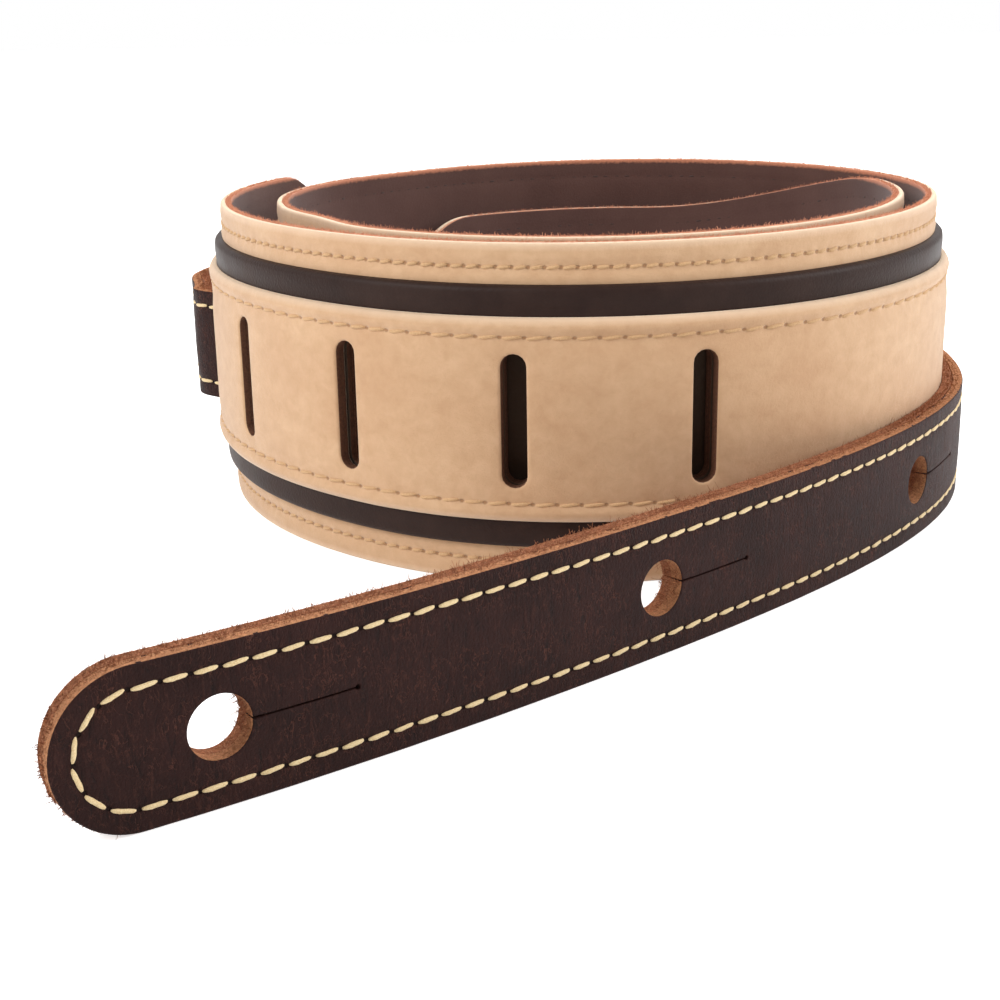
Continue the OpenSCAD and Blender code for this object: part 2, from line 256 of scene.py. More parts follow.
def on_tail(flat):
    """Places flat points of the tail, counted from its free tip, along the tail's path."""
    s = TAIL_FREE_L - flat[:, 0]
    heading = free_heading(np.maximum(s, 0))
    free = np.stack([np.interp(s, FREE_S, FREE_XY[:, 0]), np.interp(s, FREE_S, FREE_XY[:, 1])], -1)
    free = free + flat[:, 2:] * np.stack([-np.sin(heading), np.cos(heading)], -1)
    d = np.interp(-s, WRAP_LENGTHS, WRAP_DIRS)
    wrapped = polar(wrap_r(d), d) + flat[:, 2:] * wrap_out(d)
    rise = (BAND_W - TAIL_W) / 2 * ease((d - RISE_FROM) / (BOW[0] - RISE_FROM))
    xy = np.where(s[:, None] >= 0, free, wrapped) + TO_ORIGIN
    return np.column_stack([xy, flat[:, 1] + np.where(s >= 0, 0, rise)]) * MM


# ---- Outlines ----


def band_half(s):
    return BAND_W / 2 + (HEAD_W - BAND_W) / 2 * ease((s - (BAND_L - TAB_L - TAPER_L)) / TAPER_L)


def round_off(r, d):
    return np.where(d >= r, 0, r - np.sqrt(np.maximum(0, r * r - (r - d) ** 2)))


class Layer:
    """Outline of one layer of the band, inset from the widest one and ending at end."""

    def __init__(self, inset, end):
        self.inset = inset
        self.end = end
        self.start_r = CORNER_R - inset if inset < CORNER_R else 1
        self.end_r = HEAD_W / 2 - inset

    def half(self, s):
        return (band_half(s) - self.inset - round_off(self.start_r, s - self.inset)
                - round_off(self.end_r, self.end - s))

    def to_edge(self, s, y):
        """Distance from a flat point to the outline."""
        side = band_half(s) - self.inset - np.abs(y - BAND_W / 2)
        near_start = s < BAND_L / 2
        r = np.where(near_start, self.start_r, self.end_r)
        end = np.where(near_start, s - self.inset, self.end - s)
        corner = r - np.hypot(np.maximum(0, r - side), np.maximum(0, r - end))
        return np.where((side < r) & (end < r), corner, np.minimum(side, end))


BASE = Layer(0, BAND_L)
PADDING = Layer(BORDER_W + PADDING_INSET, BAND_L - TAB_L - PADDING_INSET)
INLAY = Layer(BORDER_W, BAND_L - TAB_L)
PANEL = Layer(BORDER_W + STRIPE_W, BAND_L - TAB_L - STRIPE_W)


def tail_to_edge(s, y):
    """Distance from a flat point of the tail to its outline, with a round end at both ends."""
    past = np.maximum(0, np.maximum(TAIL_R - s, s - (TAIL_L - TAIL_R)))
    return TAIL_R - np.hypot(past, y - TAIL_R)


# ---- Flat strips ----


def flat_grid(stations, rows):
    """A flat sheet with its vertices at the stations along x and at the rows across y."""
    bm = bmesh.new()
    n_x, n_y = len(stations) - 1, len(rows) - 1
    bmesh.ops.create_grid(bm, x_segments=n_x, y_segments=n_y, size=0.5)
    for v in bm.verts:
        v.co = (stations[round((v.co.x + 0.5) * n_x)], rows[round((v.co.y + 0.5) * n_y)], 0)
    return bm


def rows_from(to_edge, half):
    """Rows at both edges, at the given distances from them and at the middle of a strip."""
    near = [0, *to_edge]
    return near + [half] + [2 * half - d for d in reversed(near)]


def pull_up(bm, faces):
    """Extrudes faces that lie in one sheet, and returns the faces and points to move."""
    edges = {e for f in faces for e in f.edges}
    verts = {v for f in faces for v in f.verts}
    made = bmesh.ops.extrude_face_region(bm, geom=[*faces, *edges, *verts])["geom"]
    return ([g for g in made if isinstance(g, bmesh.types.BMFace)],
            [g for g in made if isinstance(g, bmesh.types.BMVert)])


def thicken(bm, thickness, steps=2):
    """Gives a flat sheet its thickness, with its underside at z 0 and steps up its edge."""
    faces = bm.faces[:]
    for _ in range(steps):
        faces, verts = pull_up(bm, faces)
        bmesh.ops.translate(bm, verts=verts, vec=(0, 0, thickness / steps))
    bmesh.ops.recalc_face_normals(bm, faces=bm.faces)


def soften_rims(bm, radius):
    """Rounds the edges between a strip's faces and its cut edge."""
    rims = [e for e in bm.edges if len(e.link_faces) == 2
            and abs(abs(e.link_faces[0].normal.z) - abs(e.link_faces[1].normal.z)) > 0.7]
    bmesh.ops.bevel(bm, geom=rims, offset=radius, offset_type="OFFSET", segments=3,
                    profile=0.5, affect="EDGES", material=-1, clamp_overlap=False)


def band_strip(layer, stations, rows, thickness):
    """One flat layer of the band, with its rows squeezed to its outline and a round far end."""
    bm = flat_grid(stations, rows)
    middle = BAND_W / 2
    full = middle - layer.inset
    s = np.array([v.co.x for v in bm.verts])
    share = layer.half(s) / full
    for v, k in zip(bm.verts, share):
        v.co.y = middle + (v.co.y - middle) * k
    round_end(bm, stations[-1], middle, 32)
    thicken(bm, thickness)
    return bm


def round_end(bm, x, middle, steps):
    """Closes the end of a strip with a half disc, spun from half of its last column."""
    column = [e for e in bm.edges if all(abs(v.co.x - x) < 1e-4 and v.co.y > middle - 1e-4
                                         for v in e.verts)]
    ends = {v for e in column for v in e.verts}
    side = 1 if x > 1 + min(v.co.x for v in bm.verts) else -1
    bmesh.ops.spin(bm, geom=list(ends) + column, cent=(x, middle, 0), axis=(0, 0, -side),
                   angle=math.pi, steps=steps, use_merge=False)
    bmesh.ops.remove_doubles(bm, verts=bm.verts, dist=0.01)


def add_punch(bm, number, outline, high, flare):
    """Adds a punch with an outline of x, y and flare share, which flares out at the top."""
    corners = [Vector((x, y, 0)) for x, y, _ in outline]
    outward = [(corners[(k + 1) % len(corners)] - corners[k - 1]).normalized()
               for k in range(len(corners))]
    faces = [bm.faces.new([bm.verts.new((c.x, c.y, -PUNCH_PAST)) for c in corners])]
    for k, v in enumerate(faces[0].verts):
        v[number] = k
    turns = [math.pi / 2 * k / FLARE_STEPS for k in range(FLARE_STEPS + 1)]
    levels = [(high - flare + flare * math.sin(t), flare * (1 - math.cos(t))) for t in turns]
    for z, out in levels + [(high + PUNCH_PAST, flare)]:
        faces, verts = pull_up(bm, faces)
        for v in verts:
            k = v[number]
            v.co = corners[k] + out * outline[k][2] * Vector((outward[k].y, -outward[k].x, 0))
            v.co.z = z


def slot_outline(x, w, clear):
    """A slot with round ends, larger by clear than the strap end needs."""
    r = (w + clear) / 2
    reach = (SLOT_L + clear) / 2 - r
    turns = [math.pi * k / 8 for k in range(9)]
    return [(x + way * r * math.cos(t), BAND_W / 2 + way * (reach + r * math.sin(t)), 1)
            for way in (1, -1) for t in turns]


def put_in_scene(name, data):
    obj = bpy.data.objects.new(name, data)
    bpy.context.scene.collection.objects.link(obj)
    return obj


def as_object(bm, name):
    mesh = bpy.data.meshes.new(name)
    bm.to_mesh(mesh)
    bm.free()
    return put_in_scene(name, mesh)


def settle(obj):
    """Turns what an object's modifiers make into its mesh."""
    bpy.context.view_layer.update()
    depsgraph = bpy.context.evaluated_depsgraph_get()
    done = bpy.data.meshes.new_from_object(obj.evaluated_get(depsgraph))
    obj.modifiers.clear()
    obj.data = done


def punch(obj, outlines, high, flare):
    """Cuts all the outlines out of a flat strip."""
    tool = bmesh.new()
    number = tool.verts.layers.int.new("number")
    for outline in outlines:
        add_punch(tool, number, outline, high, flare)
    bmesh.ops.recalc_face_normals(tool, faces=tool.faces)
    tool_obj = as_object(tool, "punches")
    cut = obj.modifiers.new("punches", "BOOLEAN")
    cut.object = tool_obj
    cut.operation = "DIFFERENCE"
    cut.solver = "EXACT"
    settle(obj)
    bpy.data.objects.remove(tool_obj)


def hole_outline(x, y, side):
    """A button hole with its slit and the dot that stops it; side is the slit's way."""
    mouth = math.asin(SLIT_W / 2 / HOLE_R)
    around = np.linspace(mouth, 2 * math.pi - mouth, 41)
    end = math.asin(SLIT_W / 2 / SLIT_DOT_R)
    around_dot = np.linspace(math.pi + end, 3 * math.pi - end, 11)
    outline = [(HOLE_R * math.cos(t), HOLE_R * math.sin(t), 1) for t in around]
    outline += [(HOLE_R + SLIT_L * k / 6, -SLIT_W / 2, SLIT_FLARE) for k in (1, 2, 3, 4, 5)]
    outline += [(HOLE_R + SLIT_L + SLIT_DOT_R * math.cos(t), SLIT_DOT_R * math.sin(t),
                 2 * SLIT_FLARE) for t in around_dot]
    outline += [(HOLE_R + SLIT_L * k / 6, SLIT_W / 2, SLIT_FLARE) for k in (5, 4, 3, 2, 1)]
    return [(x + side * a, y + side * b, share) for a, b, share in outline]


# ---- Surface detail ----


def ripple(points, size, seed):
    """Smooth noise from -1 to 1 at flat points, with lumps of that size."""
    return np.array([noise.noise(Vector((x / size, y / size, seed))) for x, y in points])


class Seam:
    """A closed row of stitches on a flat strip, along the outline at the given inset."""

    def __init__(self, upper, middle, pitch=STITCH_PITCH):
        lower = [(x, 2 * middle - y) for x, y in reversed(upper)]
        self.path = np.array(upper + lower[1:-1] + [upper[0]])
        self.length = lengths_along(self.path)
        self.total = self.length[-1]
        self.count = round(self.total / pitch)
        self.pitch = self.total / self.count
        dense = np.arange(0, self.total, 0.5)
        self.samples = np.column_stack([self.at(dense), dense])

    def at(self, along):
        along = np.mod(along, self.total)
        return np.column_stack([np.interp(along, self.length, self.path[:, k]) for k in (0, 1)])

    def heading(self, along):
        step = self.at(along + 0.4) - self.at(along - 0.4)
        return np.arctan2(step[:, 1], step[:, 0])

    def coordinates(self, points):
        """Distance along the row and distance from it, for each flat point."""
        tree = KDTree(len(self.samples))
        for k, (x, y, _) in enumerate(self.samples):
            tree.insert((x, y, 0), k)
        tree.balance()
        nearest = np.array([tree.find((x, y, 0))[1] for x, y in points])
        along = self.samples[nearest, 2]
        turn = self.heading(along)
        offset = points - self.samples[nearest, :2]
        return np.column_stack([
            along + offset[:, 0] * np.cos(turn) + offset[:, 1] * np.sin(turn),
            offset[:, 1] * np.cos(turn) - offset[:, 0] * np.sin(turn)])


def band_seam(inset, end, pitch):
    layer = Layer(inset, end)
    first = inset + layer.start_r * (1 - np.cos(np.radians(np.arange(0, 90, 7.5))))
    last = end - layer.end_r * (1 - np.cos(np.radians(np.arange(90, -1, -7.5))))
    stations = np.concatenate([first, np.arange(first[-1] + 3, last[0] - 1, 2), last])
    return Seam(list(zip(stations, BAND_W / 2 + layer.half(stations))), BAND_W / 2, pitch)


def tail_seam():
    r = TAIL_R - TAIL_STITCH
    turn = np.radians(np.arange(0, 91, 7.5))
    near = [(TAIL_R - r * math.cos(t), TAIL_R + r * math.sin(t)) for t in turn]
    straight = [(x, TAIL_R + r) for x in np.arange(TAIL_R + 2, TAIL_L - TAIL_R - 1, 2)]
    far = [(TAIL_L - x, y) for x, y in reversed(near)]
    return Seam(near + straight + far, TAIL_R)


BORDER_SEAM = band_seam(BORDER_STITCH, BAND_L - BORDER_STITCH, BORDER_PITCH)
PANEL_SEAM = band_seam(BORDER_W + STRIPE_W + PANEL_STITCH,
                       BAND_L - TAB_L - STRIPE_W - PANEL_STITCH, STITCH_PITCH)
TAIL_SEAM = tail_seam()


def sewn(seam_uv, pitch, depth, width):
    """How far a sewn row pulls the leather down: a groove with a dimple at each needle hole."""
    along, across = seam_uv[:, 0], seam_uv[:, 1]
    groove = np.exp(-(across / width) ** 2)
    to_hole = (np.mod(along / pitch + 0.5, 1) - 0.5) * pitch
    return depth * groove * (0.5 + 0.5 * np.exp(-(to_hole / (0.2 * pitch)) ** 2))


def rounded(d, r):
    """Height share of an edge rounded over the distance r, at distance d from the edge."""
    u = np.clip(1 - d / r, 0, 1)
    return np.sqrt(1 - u * u)


# ---- From flat strips to pieces ----


def read_points(obj):
    co = np.empty(len(obj.data.vertices) * 3)
    obj.data.vertices.foreach_get("co", co)
    return co.reshape(-1, 3)


def write_points(obj, points):
    obj.data.vertices.foreach_set("co", np.ascontiguousarray(points, dtype=np.float32).ravel())
    obj.data.update()


def drape(obj, thickness, low, high):
    """Moves a flat strip's underside to low(x, y, seam) and its top to high(x, y, seam)."""
    points = read_points(obj)
    share = points[:, 2] / thickness
    points[:, 2] = low * (1 - share) + high * share
    write_points(obj, points)


def add_uv(obj, name, values):
    """Stores two numbers per vertex as a UV map, for the materials."""
    mesh = obj.data
    loops = np.empty(len(mesh.loops), dtype=np.int32)
    mesh.loops.foreach_get("vertex_index", loops)
    layer = mesh.uv_layers.new(name=name)
    layer.data.foreach_set("uv", np.asarray(values, dtype=np.float32)[loops].ravel())


WALL_INSET = 2


def dress(obj, top, edge, under, wall=None, seam=None, to_edge=None):
    """Gives a flat strip its materials by the way each face looks, and its UV maps."""
    for one in (top, edge, under, wall or edge):
        obj.data.materials.append(one)
    for face in obj.data.polygons:
        up = face.normal.z
        inside = to_edge is not None and to_edge(face.center.x, face.center.y) > WALL_INSET
        face.material_index = 0 if up > 0.4 else 2 if up < -0.4 else 3 if inside else 1
    flat = read_points(obj)[:, :2]
    while obj.data.uv_layers:
        obj.data.uv_layers.remove(obj.data.uv_layers[0])
    add_uv(obj, "flat", flat)
    if seam:
        add_uv(obj, "seam", seam.coordinates(flat) / (seam.pitch, 1))


def roll_up(obj, place):
    """Bends a flat strip to where it lies, and shades it smooth but for its sharp corners."""
    points = place(read_points(obj))
    points[:, 2] = np.maximum(points[:, 2], 0)
    write_points(obj, points)
    bm = bmesh.new()
    bm.from_mesh(obj.data)
    for face in bm.faces:
        face.smooth = True
    for edge in bm.edges:
        edge.smooth = edge.calc_face_angle(0) < math.radians(50)
    bm.to_mesh(obj.data)
    bm.free()
    return obj


# ---- The band ----


def stations_for(layer, step):
    """Distances along a layer: close together round its corners, then a steady step."""
    near = layer.inset + layer.start_r * np.array([0, 0.04, 0.1, 0.18, 0.3, 0.45, 0.62, 0.8])
    steady = layer.inset + layer.start_r
    far = layer.end - layer.end_r
    return list(near) + list(np.linspace(steady, far, round((far - steady) / step) + 1))


def make_layer(name, layer, step, to_edge, thickness, rim, flare, low, high, looks, seam=None,
               clear=0):
    """One layer of the band. low and high give its faces' heights from (x, y, seam distances)."""
    full = BAND_W / 2 - layer.inset
    rows = [layer.inset + d for d in rows_from(to_edge, full)]
    bm = band_strip(layer, stations_for(layer, step), rows, thickness)
    soften_rims(bm, rim)
    obj = as_object(bm, name)
    outlines = [slot_outline(x, w, clear) for x, w in SLOTS]
    if layer is BASE:
        outlines.append(hole_outline(BAND_L - HEAD_HOLE_EDGE, BAND_W / 2, -1))
    punch(obj, outlines, thickness, flare)
    dress(obj, *looks, seam=seam, to_edge=layer.to_edge)
    flat = read_points(obj)
    seam_uv = seam.coordinates(flat[:, :2]) if seam else None
    drape(obj, thickness, low(flat, seam_uv), high(flat, seam_uv))
    return roll_up(obj, on_band)


def make_lining(looks):
    def low(flat, seam_uv):
        wrinkles = 0.07 * ripple(flat[:, :2] * (1, 0.15), 9, 3.1)
        return wrinkles + sewn(seam_uv, BORDER_SEAM.pitch, 0.2, 0.6)

    rows = (0.9, 2.4, 3.7, BORDER_STITCH, 4.9, 6.4, 12, 20)
    return make_layer("lining_sheet", BASE, 2.0, rows, LINING_T, 0.25, 0.1,
                      low, lambda flat, seam_uv: LINING_T, looks, BORDER_SEAM)


def border_top(flat, seam_uv):
    """Top of the base leather: swollen on both sides of the sewn row, where the border shows."""
    edge = BASE.to_edge(flat[:, 0], flat[:, 1])
    swell = 0.12 * np.exp(-((edge - 2.2) / 1.0) ** 2) + 0.15 * np.exp(-((edge - 6.2) / 0.9) ** 2)
    return (PADDING_AT + swell - sewn(seam_uv, BORDER_SEAM.pitch, 0.4, 0.8)
            + 0.05 * ripple(flat[:, :2], 5, 1.7))


def make_base(looks):
    rows = (0.7, 1.4, 2.2, 3.1, 3.7, BORDER_STITCH, 4.9, 5.5, 6.3, BORDER_W, 12, 20)
    return make_layer("base_strip", BASE, BORDER_PITCH / 4, rows, BASE_T, 0.5, 0.25,
                      lambda flat, seam_uv: BASE_AT, border_top, looks, BORDER_SEAM)


def make_padding(looks):
    def high(flat, seam_uv):
        edge = PADDING.to_edge(flat[:, 0], flat[:, 1])
        return PADDING_AT + PADDING_T * (0.35 + 0.65 * rounded(edge, 1.2))

    return make_layer("foam_strip", PADDING, 4.0, (0.5, 1.2, 3), PADDING_T, 0.15, 0.1,
                      lambda flat, seam_uv: PADDING_AT + 0.02, high, looks, clear=1.2)


def stripe_top(flat, seam_uv):
    """Top of the inlay: rolled over at its edge and crowned along the stripe."""
    edge = INLAY.to_edge(flat[:, 0], flat[:, 1])
    crown = 0.18 * np.exp(-((edge - 2.4) / 1.6) ** 2)
    return (PADDING_AT + (PADDING_T + INLAY_T) * rounded(edge, 1.0) + crown
            + 0.03 * ripple(flat[:, :2], 6, 5.3))


def make_inlay(looks):
    def low(flat, seam_uv):
        return np.maximum(PADDING_AT + 0.01, stripe_top(flat, seam_uv) - INLAY_T)

    rows = (0.35, 0.8, 1.3, 1.9, 2.6, 3.4, 4.2, 5.0, 5.8, 12)
    return make_layer("inlay_strip", INLAY, 1.6, rows, INLAY_T, 0.2, 0.15, low, stripe_top, looks)


def panel_top(flat, seam_uv):
    """Top of the centre panel: swollen outside its sewn row and pressed down round the slots."""
    edge = PANEL.to_edge(flat[:, 0], flat[:, 1])
    swell = 0.4 * np.exp(-((edge - 1.9) / 1.1) ** 2) + 0.35 * ease((edge - PANEL_STITCH) / 6)
    pressed = 0.35 * np.exp(-slot_distance(flat) / 1.2)
    return (PANEL_AT + PANEL_T * (0.25 + 0.75 * rounded(edge, 1.3)) + swell - pressed
            - sewn(seam_uv, PANEL_SEAM.pitch, 0.4, 0.8) + 0.06 * ripple(flat[:, :2], 7, 9.2))


def slot_distance(flat):
    """Distance from each flat point to the nearest slot's edge."""
    nearest = np.full(len(flat), 100.0)
    for x, w in SLOTS:
        dx = np.maximum(0, np.abs(flat[:, 0] - x) - w / 2)
        dy = np.maximum(0, np.abs(flat[:, 1] - BAND_W / 2) - SLOT_L / 2)
        nearest = np.minimum(nearest, np.hypot(dx, dy))
    return nearest


def make_panel(looks):
    rows = (0.6, 1.1, 1.7, 2.3, 2.9, PANEL_STITCH, 4.1, 4.8, 6, 8, 10.5, 13.5, 16.5)
    return make_layer("panel_strip", PANEL, STITCH_PITCH / 5, rows, PANEL_T, 0.3, 0.45,
                      lambda flat, seam_uv: PANEL_AT - 0.02, panel_top, looks, PANEL_SEAM)


# ---- The tail ----


def tail_strip(step, to_edge, thickness, rim):
    """One flat layer of the tail, with both of its ends round."""
    rows = rows_from(to_edge, TAIL_R)
    count = round((TAIL_L - TAIL_W) / step)
    bm = flat_grid(list(np.linspace(TAIL_R, TAIL_L - TAIL_R, count + 1)), rows)
    round_end(bm, TAIL_R, TAIL_R, 40)
    round_end(bm, TAIL_L - TAIL_R, TAIL_R, 40)
    thicken(bm, thickness, 3)
    soften_rims(bm, rim)
    return bm


def rough_edge(obj, thickness, amount, seed):
    """Pushes the cut edge in and out a little, as torn fibres leave it."""
    points = read_points(obj)
    for k, (x, y, z) in enumerate(points):
        if tail_to_edge(x, y) < 0.06 and 0.1 < z / thickness < 0.9:
            push = amount * (0.5 * noise.noise(Vector((x, y, z)) * 1.9 + Vector((0, 0, seed)))
                             + noise.noise(Vector((x * 0.5, y * 0.5, z * 1.3 + seed))) - 0.3)
            end = min(max(x, TAIL_R), TAIL_L - TAIL_R)
            away = Vector((x - end, y - TAIL_R, 0)).normalized()
            points[k] += push * np.array(away)
    write_points(obj, points)


def shade_slit_walls(obj):
    """Painted shade: the slits' walls get the face's dark colour instead of the cut edge's."""
    for face in obj.data.polygons:
        x, y, _ = face.center
        to_hole = min(math.hypot(x - hole, y - TAIL_R) for hole in HOLES)
        if to_hole > HOLE_R + 0.6 and tail_to_edge(x, y) > WALL_INSET:
            face.material_index = 2 if face.normal.z < -0.4 else 0


def tail_layer(name, to_edge, thickness, rim, torn, seed, flare, looks):
    """A flat layer of the tail with its looks, its points and their distances from the seam."""
    obj = as_object(tail_strip(STITCH_PITCH / 6, to_edge, thickness, rim), name)
    rough_edge(obj, thickness, torn, seed)
    punch(obj, [hole_outline(x, TAIL_R, 1) for x in HOLES], thickness, flare)
    dress(obj, *looks, seam=TAIL_SEAM)
    flat = read_points(obj)
    return obj, flat, TAIL_SEAM.coordinates(flat[:, :2])


def make_tail_face(looks):
    rows = (0.6, 1.2, 1.9, 2.5, 2.95, TAIL_STITCH, 3.85, 4.3, 5, 6, 7.2, 8.6, 10.2)
    obj, flat, seam_uv = tail_layer("tail_face", rows, TAIL_FACE_T, 0.35, 0.18, 9.0, 0.3, looks)
    shade_slit_walls(obj)
    swell = 0.1 * ease((tail_to_edge(flat[:, 0], flat[:, 1]) - TAIL_STITCH) / 5)
    high = (TAIL_T / 2 - sewn(seam_uv, TAIL_SEAM.pitch, 0.36, 0.7) + swell
            + 0.05 * ripple(flat[:, :2], 6, 2.2))
    drape(obj, TAIL_FACE_T, TAIL_MID + 0.02, high)
    return roll_up(obj, on_tail)


def make_tail_backing(looks):
    rows = (0.7, 1.6, 2.8, TAIL_STITCH, 4.0, 5.5, 8, 10.5)
    obj, flat, seam_uv = tail_layer("tail_backing", rows, TAIL_BACK_T, 0.2, 0.42, 4.0, 0.05, looks)
    low = (-TAIL_T / 2 + sewn(seam_uv, TAIL_SEAM.pitch, 0.25, 0.7)
           + 0.05 * ripple(flat[:, :2], 3, 6.1))
    drape(obj, TAIL_BACK_T, low, TAIL_MID)
    return roll_up(obj, on_tail)


# ---- Thread and loose fibres ----

STITCH_AROUND = 8
STITCH_ALONG = 7

# Radius of a loose fibre; length of the run round the tip that is frayed more than the sides;
# length of the tail from its tip that is worn, with longer fibres; and how many fibres there are
FIBRE_R = 0.06
ROUND_TIP_L = 40
WORN_TIP_L = 110
TAIL_FIBRES = 11000
RIM_FIBRES = 120
BAND_FIBRES = 12000


def copies(template, name, count):
    """Many copies of one small mesh, one after another, with each copy's points in one row."""
    obj = as_object(template, name)
    array = obj.modifiers.new("copies", "ARRAY")
    array.count = count
    array.use_relative_offset = False
    settle(obj)
    return obj, read_points(obj).reshape(count, -1, 3)


def place_copies(obj, flat, look, place):
    """Moves the copies to their flat places, turns their faces outwards and rolls them up."""
    write_points(obj, flat.reshape(-1, 3))
    bm = bmesh.new()
    bm.from_mesh(obj.data)
    bmesh.ops.recalc_face_normals(bm, faces=bm.faces)
    bm.to_mesh(obj.data)
    bm.free()
    obj.data.materials.append(look)
    return roll_up(obj, place)


def sew(name, seam, place, surface, side, look, width=0.82, height=0.56, length=3.78, slant=4,
        dip=0.22):
    """One row of separate stitches; side is 1 on the top of a strip and -1 underneath.

    Each stitch is a ball drawn out to length, twisted like two-ply thread, turned by slant
    degrees from the row, and dipped into its needle holes at both ends.
    """
    ball = bmesh.new()
    bmesh.ops.create_uvsphere(ball, u_segments=STITCH_AROUND, v_segments=STITCH_ALONG, radius=1,
                              matrix=Matrix.Rotation(math.pi / 2, 4, "Y"))
    obj, points = copies(ball, name, seam.count)
    rng = np.random.default_rng(1)

    def vary(low, high):
        return rng.uniform(low, high, (seam.count, 1))

    middle = (np.arange(seam.count) + 0.5) * seam.pitch
    spot = seam.at(middle)
    angle = seam.heading(middle)[:, None] + side * np.radians(slant + vary(-2.5, 2.5))
    u = np.sign(points[..., 0]) * np.abs(points[..., 0]) ** 0.8
    around = np.arctan2(points[..., 2], points[..., 1])
    twist = 1 + 0.13 * np.cos(2 * (around - 2.6 * u))
    girth = np.sqrt(np.maximum(0, 1 - np.abs(u) ** 4.5)) * twist
    along = u * length / 2 * vary(0.95, 1.05)
    across = girth * width / 2 * np.cos(around)
    up = girth * height / 2 * np.sin(around) + 0.12 - dip * u ** 4 + vary(-0.04, 0.04)
    flat = np.stack([spot[:, :1] + along * np.cos(angle) - across * np.sin(angle),
                     spot[:, 1:] + along * np.sin(angle) + across * np.cos(angle),
                     surface + side * up], -1)
    return place_copies(obj, flat, look, place)


def fuzz(name, roots, away, lengths, look, place, seed):
    """Loose bent fibres, each with its root, the way it points and its length in millimetres."""
    hair = bmesh.new()
    bmesh.ops.create_cone(hair, segments=3, radius1=FIBRE_R, radius2=FIBRE_R / 2, depth=1,
                          cap_ends=True)
    upright = [e for e in hair.edges if abs(e.verts[0].co.z - e.verts[1].co.z) > 0.5]
    bmesh.ops.subdivide_edges(hair, edges=upright, cuts=1, use_grid_fill=True)
    obj, points = copies(hair, name, len(roots))
    rng = np.random.default_rng(seed)
    away = unit(away)
    side = unit(np.cross(away, (0.31, 0.17, 0.94)))
    third = np.cross(away, side)
    bend = rng.uniform(-0.5, 0.5, (len(roots), 3)) * lengths[:, None]
    t = points[..., 2:] + 0.5
    flat = (roots[:, None] + points[..., :1] * side[:, None] + points[..., 1:2] * third[:, None]
            + t * lengths[:, None, None] * away[:, None] + t * t * bend[:, None])
    return place_copies(obj, flat, look, place)


def tail_fibres(look):
    """Loose fibres that stand out of the tail's cut edge and the rims of its holes."""
    rng = np.random.default_rng(7)
    s = rng.uniform(-ROUND_TIP_L, TAIL_L - TAIL_W, TAIL_FIBRES)
    turn = np.where(s < 0, math.pi / 2 - s / ROUND_TIP_L * math.pi, math.pi / 2)
    turn = np.where((s > 0) & (rng.random(TAIL_FIBRES) > 0.85), -turn, turn)
    out = np.stack([np.cos(turn), np.sin(turn)], -1)
    roots = np.column_stack([TAIL_R + np.maximum(s, 0) + (TAIL_R - 0.08) * out[:, 0],
                             TAIL_R + (TAIL_R - 0.08) * out[:, 1],
                             rng.uniform(-TAIL_T / 2, TAIL_MID + 1.4, TAIL_FIBRES)])
    away = np.column_stack([out, np.zeros(TAIL_FIBRES)]) + rng.uniform(
        (-0.9, -0.3, -0.9), (0.9, 0.3, 0.6), (TAIL_FIBRES, 3))
    lengths = rng.uniform(0.25, 0.6, TAIL_FIBRES) + 1.3 * rng.random(TAIL_FIBRES) ** 14
    lengths = lengths * np.where(s < WORN_TIP_L, 1, 0.6)

    rim = rng.normal(0, 0.55, HOLE_COUNT * RIM_FIBRES)
    hole = np.repeat(HOLES, RIM_FIBRES)
    rim_roots = np.column_stack([hole + HOLE_R * np.cos(rim), TAIL_R + HOLE_R * np.sin(rim),
                                 rng.uniform(-TAIL_T / 2, TAIL_T / 2 - 0.5, len(rim))])
    rim_away = np.column_stack([-np.cos(rim), -np.sin(rim), np.zeros(len(rim))])
    rim_away = rim_away + rng.uniform(-0.8, 0.8, (len(rim), 3)) * (0, 1, 1)
    return fuzz("tail_loose_fibres", np.vstack([roots, rim_roots]), np.vstack([away, rim_away]),
                np.concatenate([lengths, 0.4 + 1.8 * rng.random(len(rim)) ** 3]), look, on_tail, 8)


def rim_fibres(look):
    """The nap of the lining, which shows as a fuzzy line along the band's upper edge."""
    rng = np.random.default_rng(11)
    s = rng.uniform(2, BAND_L - HEAD_W / 2, BAND_FIBRES)
    roots = np.column_stack([s, BAND_W / 2 + BASE.half(s) - 0.1,
                             rng.uniform(0.05, LINING_T + 0.25, BAND_FIBRES)])
    away = rng.uniform((-0.9, 0.5, -0.6), (0.9, 1, 0.6), (BAND_FIBRES, 3))
    lengths = 0.25 + 0.45 * rng.random(BAND_FIBRES) ** 2
    return fuzz("lining_loose_fibres", roots, away, lengths, look, on_band, 12)


# ---- Materials ----


def srgb(red, green, blue):
    def linear(c):
        c = c / 255
        return c / 12.92 if c <= 0.04045 else ((c + 0.055) / 1.055) ** 2.4
    return (linear(red), linear(green), linear(blue), 1)


class Nodes:
    """The nodes of a material or the world; a call adds one and returns what comes out of it."""

    def __init__(self, tree):
        self.tree = tree

    def add(self, kind, out=0, inputs=(), **settings):
        node = self.tree.nodes.new("ShaderNode" + kind)
        for key, value in settings.items():
            setattr(node, key, value)
        for key, value in dict(inputs).items():
            self.feed(node.inputs[key], value)
        return node.outputs[out]

    def feed(self, socket, value):
        if isinstance(value, bpy.types.NodeSocket):
            self.tree.links.new(value, socket)
        else:
            socket.default_value = value

    def math(self, operation, a, b=0.0):
        return self.add("Math", operation=operation, inputs={0: a, 1: b})

    def background_rays(self):
        """1 for the rays that show the white background, and 0 for those that light the strap."""
        seen = self.add("LightPath", out="Is Camera Ray")
        for kind in ("Is Glossy Ray", "Is Transmission Ray"):
            seen = self.math("MAXIMUM", seen, self.add("LightPath", out=kind))
        return seen


